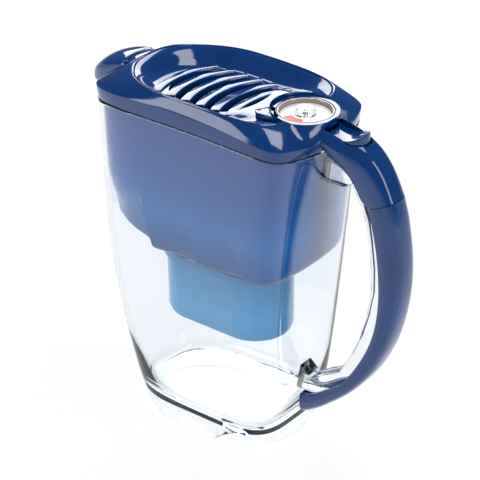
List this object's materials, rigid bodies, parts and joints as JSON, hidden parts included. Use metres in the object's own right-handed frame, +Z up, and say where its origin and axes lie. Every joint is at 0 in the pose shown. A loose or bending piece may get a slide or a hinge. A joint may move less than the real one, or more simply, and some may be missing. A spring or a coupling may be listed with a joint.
{
  "type": "water filter pitcher",
  "caption": "Slim clear water filter pitcher with a blue lid, louvred flip lid, refill dial, thumb lever, spout cover, hopper and cartridge.",
  "frame": {"origin": "on the surface the pitcher stands on, under the middle of the jug's length at the foot's centre line", "axes": "+Z up, +X from the spout towards the handle, +Y across"},
  "size_m": [0.278, 0.1058, 0.2711],
  "materials": {
    "clear_jug": "polished clear plastic",
    "navy": "polished injection-moulded plastic",
    "blue_clear": "polished tinted plastic",
    "light_blue_clear": "polished tinted plastic",
    "white_plastic": "smooth moulded plastic",
    "red_plastic": "printed plastic",
    "seal_rubber": "moulded silicone",
    "media": "granular carbon and resin",
    "bezel": "polished plastic",
    "clear_dial": "polished clear plastic",
    "steel": "drawn wire"
  },
  "bodies": {
    "jug": {"jug_body": "clear_jug", "jug_handle": "clear_jug", "handle_cover": "navy"},
    "hopper_body": {"hopper": "blue_clear"},
    "cartridge": {"cartridge_casing": "light_blue_clear", "cartridge_cap": "white_plastic", "cartridge_seal": "seal_rubber", "filter_media": "media", "cartridge_mesh": "white_plastic"},
    "lid": {"lid_frame": "navy", "handle_head": "navy", "dial_well": "navy", "dial_bezel": "bezel", "dial_pointer": "white_plastic", "lever_pin": "steel", "lever_spring": "steel", "spout_saddle": "navy", "spout_pins": "navy"},
    "dial": {"dial_disc": "white_plastic", "dial_sector": "red_plastic", "dial_knob": "clear_dial", "dial_axle": "steel"},
    "flip_lid_body": {"flip_lid": "navy", "louvre_slats": "navy", "flip_pins": "navy"},
    "lever": {"thumb_lever": "navy", "thumb_pad": "navy"},
    "spout_cover": {"spout_flap": "navy"}
  },
  "joints": [
    {"name": "hopper_lift", "type": "slide", "parent": "jug", "child": "hopper_body", "axis": [0, 0, 1], "range_m": [0, 0.12]},
    {"name": "cartridge_pull", "type": "slide", "parent": "hopper_body", "child": "cartridge", "axis": [0, 0, 1], "range_m": [-0.05, 0]},
    {"name": "lid_lift", "type": "slide", "parent": "hopper_body", "child": "lid", "axis": [0, 0, 1], "range_m": [0, 0.08]},
    {"name": "dial_turn", "type": "hinge", "parent": "lid", "child": "dial", "pos_m": [0.051, 0, 0.26], "axis": [0, 0, 1], "continuous": true},
    {"name": "flip_hinge", "type": "hinge", "parent": "lid", "child": "flip_lid_body", "pos_m": [0.024, 0, 0.264], "axis": [0, 1, 0], "range_deg": [0, 60]},
    {"name": "lever_press", "type": "hinge", "parent": "lid", "child": "lever", "pos_m": [0.08, 0, 0.2526], "axis": [0, 1, 0], "range_deg": [0, 6.5], "stiffness_Nm_per_rad": 0.6, "springref_deg": -1.15},
    {"name": "spout_hinge", "type": "hinge", "parent": "lid", "child": "spout_cover", "pos_m": [-0.099, 0, 0.2666], "axis": [0, 1, 0], "range_deg": [0, 40]}
  ],
  "couplings": [
    {"joint": "lever_press", "follows": "flip_hinge", "ratio": 0.1083}
  ]
}
